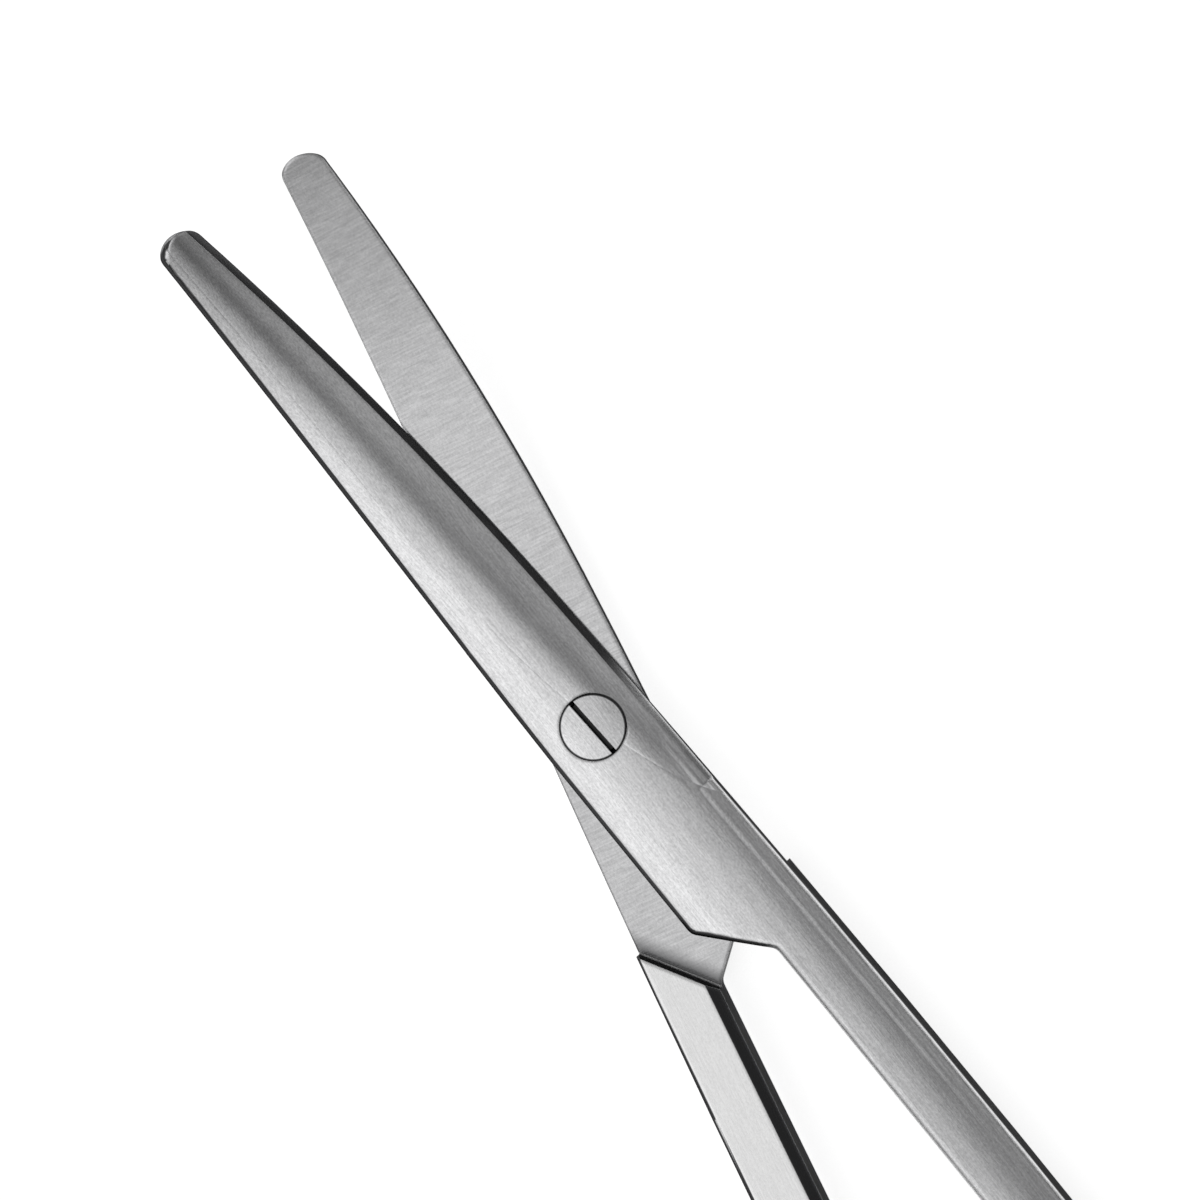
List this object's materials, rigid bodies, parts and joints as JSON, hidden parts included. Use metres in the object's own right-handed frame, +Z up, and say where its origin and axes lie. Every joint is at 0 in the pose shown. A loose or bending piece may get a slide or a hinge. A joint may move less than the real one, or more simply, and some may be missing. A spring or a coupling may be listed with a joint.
{
  "type": "dissecting scissors",
  "caption": "Fine surgical dissecting scissors with curved blunt blades, slender shanks, finger rings and a slotted pivot screw, lying partly open.",
  "frame": {"origin": "where the pivot axis meets the plane that the scissors lie on, at the flush end of the pivot screw", "axes": "+X along the scissors from the finger rings to the blade tips, midway between the halves; +Z up, out of the side with the screw head, which is also the side that the tips curve to"},
  "size_m": [0.1426, 0.0712, 0.0129],
  "materials": {
    "upper_half": "satin, brushed along its length",
    "lower_half": "satin outside, ground across the blade inside",
    "pivot_screw": "ground flush with the joint"
  },
  "bodies": {
    "lower": {"lower_half": "lower_half", "pivot_screw": "pivot_screw"},
    "upper": {"upper_half": "upper_half"}
  },
  "joints": [
    {"name": "pivot", "type": "hinge", "parent": "lower", "child": "upper", "pos_m": [0, 0, 0.0021], "axis": [0, 0, 1], "range_deg": [-13.3, 46.7]}
  ]
}
